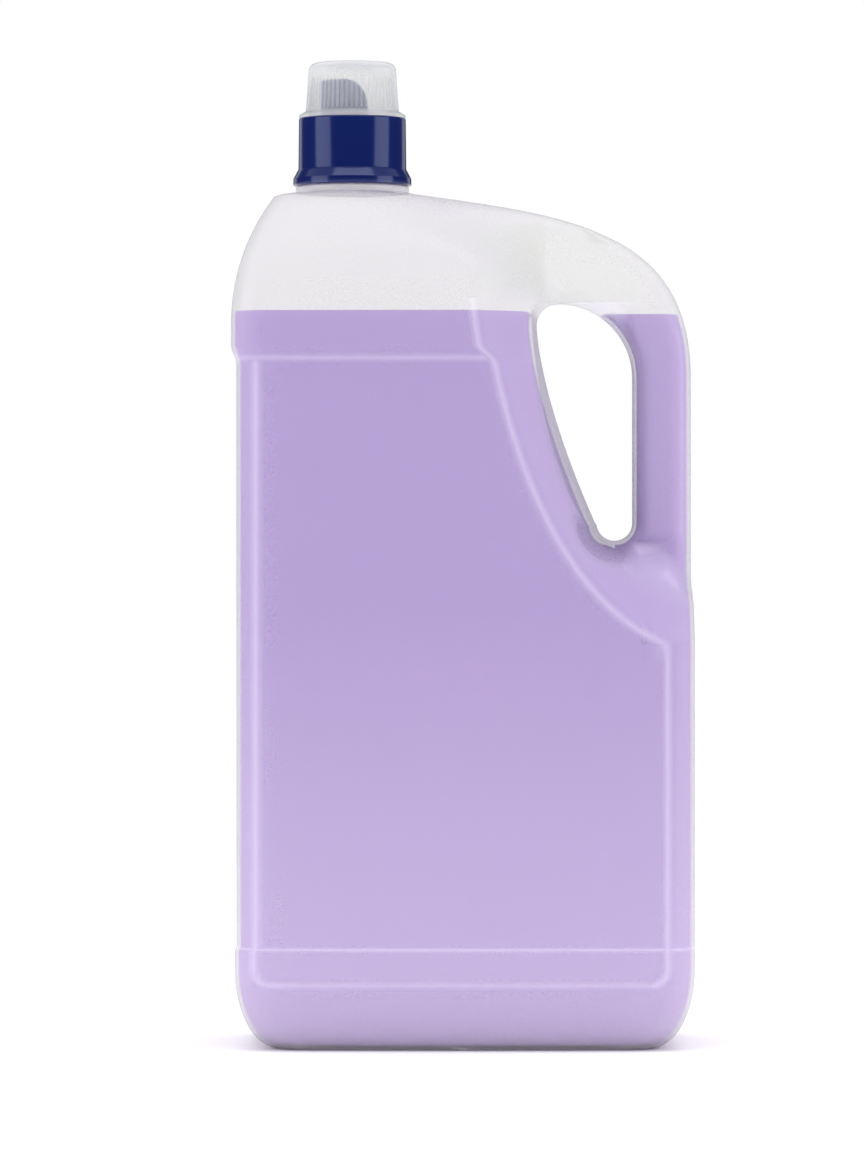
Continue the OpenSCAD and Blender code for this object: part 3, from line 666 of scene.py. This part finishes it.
def softenRows(rounds):
    places = [[p[0] for p in row] for row in rowPoints]
    chosen = []
    for i in range(1, len(heights) - 1):
        for j in range(footColumn - columns["wall"] - 10, width - 2):
            x, y = rowPoints[i][j]
            share = softShare(heights[i], x, places[i][-1])
            if y > 0.01 and share > 0:
                chosen.append((i, j, share))
    for _ in range(rounds):
        before = [list(row) for row in rowPoints]
        for i, j, share in chosen:
            x, y = before[i][j]
            (ax, ay), (bx, by) = before[i][j - 1], before[i][j + 1]
            across = mix(ay, by, (x - ax) / max(1e-6, bx - ax))
            up = mix(depthAt(before[i - 1], places[i - 1], x), depthAt(before[i + 1], places[i + 1], x),
                     (heights[i] - heights[i - 1]) / (heights[i + 1] - heights[i - 1]))
            rowPoints[i][j] = (x, mix(y, (across + up) / 2, 0.7 * share))


# The close levels at the foot of the grip hole follow the levels on either side of them
def bridgeRows(low, high):
    first, last = bisect.bisect(heights, low) - 1, bisect.bisect(heights, high)
    under, over = rowPoints[first], rowPoints[last]
    underX, overX = [p[0] for p in under], [p[0] for p in over]
    for i in range(first + 1, last):
        t = (heights[i] - heights[first]) / (heights[last] - heights[first])
        for j in range(footColumn + 2, width - 2):
            x, y = rowPoints[i][j]
            between = mix(depthAt(under, underX, x), depthAt(over, overX, x), t)
            rowPoints[i][j] = (x, mix(y, between, ease(footX + 4, footX + 9, x)))


softenRows(45)
bridgeRows(gripFoot - 1, gripFoot + 1.6)
print("body levels", len(heights), "columns", width)


def baseRow(inset):
    end, deep = -rowPoints[0][0][0], Level(0).half
    return [(x * (1 - inset / end), y * (1 - inset / deep)) for x, y in rowPoints[0]]


def addBothHalves(rows):
    front = [(x, -y, z) for row, z in rows for x, y in row]
    return front + [(x, -y, z) for x, y, z in front]


baseRows = [(baseRow(body["ring"] + 5), body["hollow"]), (baseRow(body["ring"] + 2.5), body["hollow"] - 0.5),
            (baseRow(body["ring"] + 1), 0.5), (baseRow(body["ring"]), 0.0)]
skinRows = baseRows + list(zip(rowPoints, heights))
skinHeights = [-1.0] * 4 + heights
points = addBothHalves(skinRows)
faces = skinFaces(len(skinRows), skinHeights, width)
floorLoop = list(range(width)) + [len(points) // 2 + j for j in range(width - 2, 0, -1)]
faces.append(floorLoop)
bottleSkin = makePiece("bottleSkin", points, faces, shellLook, weld=0.002)


# Edges, with pale painted highlight lines where the blown wall is also thickest, and the slope above the hole,
# with painted shade
edges = {"corner": 0.6, "cornerWidth": 1.8, "width": 1.3, "turn": 6.0, "base": 0.7, "band": 0.9, "ledge": 0.8,
         "handle": 0.45, "rim": 0.9, "wedge": 0.9, "bar": 0.22}


def line(distance, width):
    return math.exp(-(distance / width) ** 2)


# Painted highlight line where the flat of the broad face ends, with rounded corners
def frameLine(lv, x):
    z, r, low = lv.z, edges["turn"], body["faceBaseHeight"]
    left, right = lv.left + lv.corner * edges["corner"], lv.flat
    inX = max(left + r - x, x - right + r)
    inZ = low + r - z
    if inX > 0 and inZ > 0:
        far = math.hypot(inX, inZ)
        return mix(0.85, 1, edges["base"]) * line(far - r, mix(1.1, 1.6, inX / far))
    if inZ > 0:
        return edges["base"] * line(z - low, 1.1)
    onLeft = (1 - ease(ledgeZ - 4, ledgeZ, z)) * line(x - left, edges["cornerWidth"])
    onRight = (1 - ease(pocketEnd - 1, pocketEnd + 3, z)) * line(x - right, edges["width"])
    return max(onLeft, onRight)


def edgeShare(lv, x):
    z = lv.z
    alongHandle = ease(gripFoot - 4, gripFoot + 6, z) * (1 - ease(fillZ - 8, fillZ, z))
    # Painted highlight lines: the face's frame, the base band, the ledge and the handle's outer edge
    lines = [
        frameLine(lv, x),
        edges["band"] * line(z - body["baseBand"] - 0.4, 0.65),
        edges["ledge"] * (1 - ease(lv.edge - 2, lv.edge + 1, x)) * line(z - ledgeZ + 1.5, 1.2),
        edges["handle"] * alongHandle * line(lv.right - x - 4, edges["width"]),
    ]
    # Painted highlight along the pocket's edge
    if pocketEnd - 4 < z < gripTop:
        lines.append((1 - ease(lv.flat - 1, lv.flat + 1, x)) * line(lv.edgeAway(x), 1.5))
    # Painted light: a pale band along the grip hole's rim, as if lit through from behind
    if gripFoot - 4 < z < gripTop and x < footX + 6:
        near = Level(max(z, gripFoot))
        away = math.hypot(max(0.0, near.foot - x), max(0.0, gripFoot - z))
        lines.append(edges["rim"] * (1 - ease(footX, footX + 6, x)) * line(away, 2.6))
    # Painted light on the handle bar, which the pocket otherwise leaves in shade
    lines.append(edges["bar"] * ease(gripRight - 1, gripRight + 1, x) * ease(gripFoot - 2, gripFoot + 6, z)
                 * (1 - ease(gripTop - 6, gripTop, z)))
    # Painted highlight along the fold where the handle's flat meets the ramp below it
    middle = gripFoot - 2.8 - 0.91 * (x - gripRight - 0.6)
    wide = mix(2.2, 4.5, ease(gripRight, rightEnd - 6, x))
    lines.append(edges["wedge"] * ease(gripRight - 3, gripRight + 1, x) * line(z - middle, wide)
                 * (1 - ease(lv.right - 7, lv.right - 3, x)))
    return max(lines)


# Painted shade mask: greyer on the slope above the grip hole, fading out at its foot and towards the top
def slopeShare(lv, x):
    if lv.z < gripTop:
        return 0.0
    rise = ease(lv.slopeFrom - 4, slopeFoot - 2, x) * (1 - ease(slopeFoot - 1, slopeFoot + 2, x))
    return rise * ease(gripTop, gripTop + 6, lv.z) * (1 - ease(topZ - 20, topZ - 8, lv.z))


def addShares(piece, **kinds):
    mesh = piece.data
    places = [(round(v.co.z / mm, 3), v.co.x / mm) for v in mesh.vertices]
    known = {z: Level(z) for z in {z for z, x in places}}
    for name, share in kinds.items():
        layer = mesh.attributes.new(name, "FLOAT", "POINT")
        layer.data.foreach_set("value", [share(known[z], x) for z, x in places])


# The masks carry the painted highlight lines and the painted shade on the slope
addShares(bottleSkin, ridge=edgeShare, slope=slopeShare)
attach(bottleSkin, "pack")
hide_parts("bottle")


# Liquid: the same skin moved in by the wall, and further in beside the grip hole, where the walls are pinched
def makeLiquid():
    last = heights.index(min(heights, key=lambda z: abs(z - fillZ)))
    rows = list(zip(rowPoints[:last + 1], heights[:last + 1]))
    pts = addBothHalves(rows)
    fcs = skinFaces(len(rows), heights, width)
    fcs.append(list(range(width)) + [len(pts) // 2 + j for j in range(width - 2, 0, -1)])
    piece = makePiece("softenerFill", pts, fcs, liquidLook, weld=0.002)
    work = bmesh.new()
    work.from_mesh(piece.data)
    work.normal_update()
    moves = []
    for v in work.verts:
        x, y, z = (c / mm for c in v.co)
        rim = 0.0
        if gripFoot - 12 < z < gripTop + 4:
            lv = Level(min(max(z, gripFoot), gripTop))
            if x < lv.foot + 0.01:
                rim = math.exp(-math.hypot(lv.foot - x, max(0.0, gripFoot - z)) / 1.6)
            rim = max(rim, 0.1 * math.exp(-abs(x - lv.handle) / 2.0))
        inset = body["wall"] + body["liquidGap"] + 1.6 * rim
        moves.append(v.normal * (inset * mm))
    for v, move in zip(work.verts, moves):
        level = v.co.z > (fillZ - 0.01) * mm
        v.co -= move
        v.co.z = fillZ * mm if level else max(v.co.z, (body["wall"] + body["liquidGap"]) * mm)
    bmesh.ops.edgeloop_fill(work, edges=[e for e in work.edges if e.is_boundary])
    bmesh.ops.recalc_face_normals(work, faces=work.faces)
    work.to_mesh(piece.data)
    work.free()
    piece.data.polygons.foreach_set("use_smooth", [True] * len(piece.data.polygons))
    piece.data.set_sharp_from_angle(angle=math.radians(60))
    return piece


liquid = makeLiquid()
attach(liquid, "pack")
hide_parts("softener_liquid")
print("body and liquid ready")


# Turned pieces: a closed profile swept round the neck, with a radial change by angle where it has one
def makeTurned(name, profile, material, count, sharp=35, change=None):
    pts, fcs, n = [], [], len(profile)
    for k in range(count):
        a = 2 * math.pi * k / count
        for i, (r, z) in enumerate(profile):
            rr = r + (change(i, a, z) if change and r > 0 else 0.0)
            pts.append((neckX + rr * math.cos(a), rr * math.sin(a), z))
    for k in range(count):
        m = (k + 1) % count
        for i in range(n):
            j = (i + 1) % n
            fcs.append([k * n + i, m * n + i, m * n + j, k * n + j])
    return makePiece(name, pts, fcs, material, sharp=sharp, weld=0.0005)


def arcPoints(cx, cz, r, first, last, count):
    return [(cx + r * math.cos(math.radians(mix(first, last, k / count))),
             cz + r * math.sin(math.radians(mix(first, last, k / count)))) for k in range(count + 1)]


neckProfile = [(neck["bore"], topZ - 0.3), (ringRadius - 0.4, topZ - 0.3), (ringRadius, topZ + 0.4),
               (ringRadius, ringTop - 0.6)]
neckProfile += arcPoints(ringRadius - 0.6, ringTop - 0.6, 0.6, 15, 90, 5)
neckProfile += [(neckRadius + 0.4, ringTop), (neckRadius, ringTop + 0.4), (neckRadius, snapZ - 2),
                (neckRadius + neck["snap"], snapZ - 1.2), (neckRadius + neck["snap"], snapZ),
                (neckRadius, snapZ + 2.4), (neckRadius, neckTop - 0.5), (neckRadius - 0.5, neckTop),
                (neck["bore"], neckTop)]
bottleNeck = makeTurned("bottleNeck", neckProfile, neckLook, 144)
# The neck's underside is seen through the shoulder, so it is as clear as the shell
bottleNeck.data.materials.append(shellLook)
for face in bottleNeck.data.polygons:
    face.material_index = 1 if face.center.z < topZ * mm else 0
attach(bottleNeck, "pack")

# Pouring fitment
fit = {
    "gap": 0.3, "wall": 1.5, "collarHeight": 26.8, "flareReach": 2.2, "flareHeight": 6.5, "plugDepth": 6.0,
    "spoutRadius": 12.4, "spoutHeight": 27.5, "spoutBack": 6.1, "lipLength": 9.1, "lipHeight": 10.3,
    "thread": 0.5, "pitch": 4.2,
}
collarIn = neckRadius + neck["snap"] + fit["gap"]
collarOut = collarIn + fit["wall"]
collarFoot = ringTop + fit["gap"]
collarTop = collarFoot + fit["collarHeight"]
floorZ = neckTop
floorTop = floorZ + fit["wall"]
lipZ = floorTop + fit["spoutHeight"]
spoutBore = fit["spoutRadius"] - fit["wall"]
plugRadius = neck["bore"] - fit["gap"]
flareOut = collarOut + fit["flareReach"]
threadFrom, threadTo = floorTop + 3.0, collarTop - 1.2


def threadRidge(z, a, fromZ, toZ, pitch, depth):
    ends = ease(fromZ, fromZ + 0.8, z) * (1 - ease(toZ - 0.8, toZ, z))
    u = (z - fromZ) / pitch - a / (2 * math.pi)
    u -= math.floor(u)
    return depth * ends * max(0.0, min(1.0, 2.2 - abs(u - 0.5) * 8))


def makeFitment():
    bead = snapZ - 2 - fit["gap"]
    half = collarFoot + fit["flareHeight"] / 2
    flareTop = collarFoot + fit["flareHeight"]
    profile = [(collarIn, collarFoot), (flareOut - 0.5, collarFoot)]
    profile += arcPoints(flareOut - 0.5, collarFoot + 0.5, 0.5, -75, 0, 4)
    profile += arcPoints(flareOut - 0.5, half - 0.5, 0.5, 0, 42, 4)
    profile += [(collarOut + 0.75, flareTop - 0.9), (collarOut + 0.4, flareTop - 0.35),
                (collarOut + 0.2, flareTop + 0.2), (collarOut, collarTop - 1.0)]
    profile += arcPoints(collarOut - 0.8, collarTop - 0.8, 0.8, 10, 90, 6)
    profile += [(collarIn + 0.2, collarTop), (collarIn, collarTop - 0.4)]
    threadStart = len(profile)
    profile += [(collarIn, mix(collarTop - 0.8, floorTop + 1.5, k / 44)) for k in range(45)]
    threadEnd = len(profile)
    profile += [(collarIn - 0.3, floorTop + 0.5), (collarIn - 1, floorTop),
                (spoutBore, floorTop), (spoutBore, floorZ),
                (plugRadius - fit["wall"], floorZ), (plugRadius - fit["wall"], floorZ - fit["plugDepth"]),
                (plugRadius - 0.6, floorZ - fit["plugDepth"]), (plugRadius, floorZ - fit["plugDepth"] + 1.5),
                (plugRadius, floorZ), (collarIn, floorZ), (collarIn, bead),
                (collarIn - neck["snap"], bead - 0.5), (collarIn - neck["snap"], bead - 1),
                (collarIn, bead - 2.5)]

    def ridge(i, a, z):
        if threadStart <= i < threadEnd:
            return -threadRidge(z, a, threadFrom, threadTo, fit["pitch"], fit["thread"])
        return 0.0

    return makeTurned("pourCollar", profile, navyLook, 192, sharp=38, change=ridge)


def makeSpout():
    count, rise = 96, 24
    pts, fcs = [], []

    def lip(x):
        start = fit["spoutBack"] - fit["lipLength"]
        if x <= start:
            return lipZ
        t = min(1.0, (x - start) / fit["lipLength"])
        return lipZ - fit["lipHeight"] * (1 - math.sqrt(max(0.0, 1 - t * t)))

    for r in (fit["spoutRadius"], spoutBore):
        first = math.acos(fit["spoutBack"] / r)
        for k in range(count + 1):
            a = mix(first, 2 * math.pi - first, k / count)
            x = r * math.cos(a)
            for i in range(rise + 1):
                pts.append((neckX + x, r * math.sin(a), mix(floorTop - 0.5, lip(x), i / rise)))
    n = rise + 1
    inner = (count + 1) * n
    for k in range(count):
        for i in range(rise):
            a = k * n + i
            fcs.append([a, a + n, a + n + 1, a + 1])
            fcs.append([inner + a, inner + a + 1, inner + a + n + 1, inner + a + n])
        top = k * n + rise
        fcs.append([top, top + n, inner + top + n, inner + top])
        low = k * n
        fcs.append([low, inner + low, inner + low + n, low + n])
    for k in (0, count):
        for i in range(rise):
            a = k * n + i
            fcs.append([a, a + 1, inner + a + 1, inner + a])
    return makePiece("pourSpout", pts, fcs, spoutLook, sharp=40)


collar = makeFitment()
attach(collar, "pack")
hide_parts("pour_fitment")
spout = makeSpout()
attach(spout, "pack")

# Dosing cap with fine upright flutes and a thread on its skirt
cap = {
    "height": 21.8, "endRadius": 17.2, "rootRadius": 18.4, "wall": 1.2, "flange": 2.8, "skirt": 11.0,
    "threadDepth": 1.1, "round": 3.0, "flutes": 60, "fluteDepth": 0.42, "plainTop": 5.5, "ridge": 0.55,
}


def makeCap():
    capTop = collarTop + cap["height"]
    flangeOut = collarOut - 0.1
    skirtOut = collarIn - cap["threadDepth"] - fit["gap"]
    skirtFoot = max(collarTop - cap["skirt"], floorTop + 1)
    flangeTop = collarTop + cap["flange"]
    fluteTop = capTop - cap["round"]
    fluteEndZ = capTop - cap["plainTop"]
    profile = [(skirtOut - cap["wall"], skirtFoot), (skirtOut - 0.4, skirtFoot)]
    skirtStart = len(profile)
    profile += [(skirtOut, mix(skirtFoot + 0.6, collarTop - 0.3, k / 36)) for k in range(37)]
    skirtEnd = len(profile)
    profile += [(skirtOut, collarTop), (flangeOut - 0.3, collarTop)]
    profile += arcPoints(flangeOut - 0.3, collarTop + 0.3, 0.3, -60, 0, 3)
    profile += arcPoints(flangeOut - 0.5, collarTop + 0.9, 0.5, 0, 40, 3)
    profile += [(mix(flangeOut - 0.12, cap["rootRadius"] + 0.25, t), mix(collarTop + 1.25, flangeTop - 0.35, t))
                for t in steps(4)]
    fluteStart = len(profile)
    profile += [(mix(cap["rootRadius"], cap["endRadius"], t), mix(flangeTop, fluteTop, t))
                for t in steps(18, 0)]
    fluteEnd = len(profile)
    profile += arcPoints(cap["endRadius"] - cap["round"], fluteTop, cap["round"], 8, 90, 9)
    profile += [(r, capTop) for r in (11.0, 6.0, 2.0, 0.0)]
    profile += [(r, capTop - cap["wall"]) for r in (0.0, 2.0, 6.0, 11.0)]
    inner = cap["round"] - cap["wall"]
    profile += arcPoints(cap["endRadius"] - cap["round"], fluteTop, inner, 90, 0, 6)
    profile += [(mix(cap["endRadius"], cap["rootRadius"], t) - cap["wall"], mix(fluteTop, flangeTop, t))
                for t in steps(6)]
    profile += [(skirtOut - cap["wall"], collarTop)]
    threadFromZ, threadToZ = skirtFoot + 0.8, collarTop - 1.5

    def fluteFade(z):
        return ease(flangeTop, flangeTop + 0.8, z) * (1 - ease(fluteEndZ - 1.5, fluteEndZ, z))

    def shape(i, a, z):
        if fluteStart <= i < fluteEnd:
            return -cap["fluteDepth"] * fluteFade(z) * (0.5 - 0.5 * math.cos(cap["flutes"] * a)) ** 2
        if skirtStart <= i < skirtEnd:
            return threadRidge(z, a, threadFromZ, threadToZ, fit["pitch"], cap["ridge"])
        return 0.0

    piece = makeTurned("dosingCup", profile, capLook, cap["flutes"] * 8, sharp=40, change=shape)

    # The crests between the flutes, the flange and the skirt are the thickest plastic
    def thickShare(x, y, z):
        wallRadius = mix(cap["rootRadius"], cap["endRadius"], (z - flangeTop) / (fluteTop - flangeTop))
        if z > flangeTop - 0.1 and math.hypot(x, y) > wallRadius - 0.7:
            crest = 0.5 + 0.5 * math.cos(cap["flutes"] * math.atan2(y, x))
            return 0.55 * fluteFade(z) * crest ** 2
        return 0.75 * (1 - ease(flangeTop - 0.6, flangeTop, z))

    places = [(v.co.x / mm - neckX, v.co.y / mm, v.co.z / mm) for v in piece.data.vertices]
    values = [thickShare(*place) for place in places]
    layer = piece.data.attributes.new("ridge", "FLOAT", "POINT")
    layer.data.foreach_set("value", values)
    return piece


dosingCup = makeCap()
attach(dosingCup, "cap")
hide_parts("dosing_cap")
print("fitment and cap ready")

# Stage, light and camera
studio = {"half": 30.0, "sun": 0.95, "sunAngle": 110.0, "seen": 1.0, "diffuse": 0.84, "glossy": 0.06}
h = studio["half"]
floorMesh = bpy.data.meshes.new("studioFloor")
floorMesh.from_pydata([(-h, -h, 0), (h, -h, 0), (h, h, 0), (-h, h, 0)], [], [[0, 1, 2, 3]])
floor = bpy.data.objects.new("studioFloor", floorMesh)
scene.collection.objects.link(floor)
floorMesh.materials.append(solidMaterial("studioPaper", {
    "low": (0.9, 0.9, 0.9), "high": (0.9, 0.9, 0.9), "fromZ": 0, "toZ": 1, "cloud": 0.02,
    "roughness": 0.7, "spread": 0.1, "bump": 0.02, "specular": 0.0, "specularTint": (1, 1, 1)}))


def addArea(name, place, target, sizeX, sizeY, power):
    lamp = bpy.data.lights.new(name, "AREA")
    lamp.shape = "RECTANGLE"
    lamp.size, lamp.size_y, lamp.energy = sizeX, sizeY, power
    holder = bpy.data.objects.new(name, lamp)
    scene.collection.objects.link(holder)
    holder.location = place
    way = holder.location - Vector(target)
    holder.rotation_euler = way.to_track_quat("Z", "Y").to_euler()


for side, sign in (("left", -1), ("right", 1)):
    addArea(side + "Softbox", (sign * 1.2, -0.5, 0.35), (0, 0, 0.25), 0.85, 1.3, 6.2)
    addArea(side + "Rim", (sign * 0.8, 1.25, 0.3), (0, 0, 0.25), 0.5, 1.2, 1.2)
addArea("topSoftbox", (0, -0.2, 1.7), (0, 0, 0.2), 1.4, 1.1, 8.0)

# An even light from above keeps the paper white as far as it goes
sky = bpy.data.lights.new("overhead", "SUN")
sky.energy = studio["sun"]
sky.angle = math.radians(studio["sunAngle"])
overhead = bpy.data.objects.new("overhead", sky)
scene.collection.objects.link(overhead)
overhead.location = (0, 0, 3)

world = bpy.data.worlds.new("studioWorld")
scene.world = world
world.use_nodes = True
tree = world.node_tree
tree.nodes.clear()
worldOut = tree.nodes.new("ShaderNodeOutputWorld")


def addBackground(strength):
    node = tree.nodes.new("ShaderNodeBackground")
    node.inputs["Color"].default_value = (1, 1, 1, 1)
    node.inputs["Strength"].default_value = strength
    return node


# The ground behind is white to the camera, a little dimmer as light, and nearly dark in reflections
white = addBackground(studio["seen"])
dim = addBackground(studio["diffuse"])
dark = addBackground(studio["glossy"])
path = tree.nodes.new("ShaderNodeLightPath")
glossy = tree.nodes.new("ShaderNodeMixShader")
tree.links.new(path.outputs["Is Glossy Ray"], glossy.inputs[0])
tree.links.new(dim.outputs[0], glossy.inputs[1])
tree.links.new(dark.outputs[0], glossy.inputs[2])
seen = tree.nodes.new("ShaderNodeMixShader")
tree.links.new(path.outputs["Is Camera Ray"], seen.inputs[0])
tree.links.new(glossy.outputs[0], seen.inputs[1])
tree.links.new(white.outputs[0], seen.inputs[2])
tree.links.new(seen.outputs[0], worldOut.inputs["Surface"])

view = {"x": -0.01205, "z": 0.1842, "away": 2.45, "seen": 0.455}
lens = bpy.data.cameras.new("photoCamera")
lens.sensor_width = 36.0
lens.lens = 36.0 * view["away"] / view["seen"]
lens.clip_end = 50.0
camera = bpy.data.objects.new("photoCamera", lens)
scene.collection.objects.link(camera)
camera.location = (view["x"], -view["away"], view["z"])
camera.rotation_euler = (math.pi / 2, 0, 0)
scene.camera = camera
scene.view_settings.view_transform = "Standard"
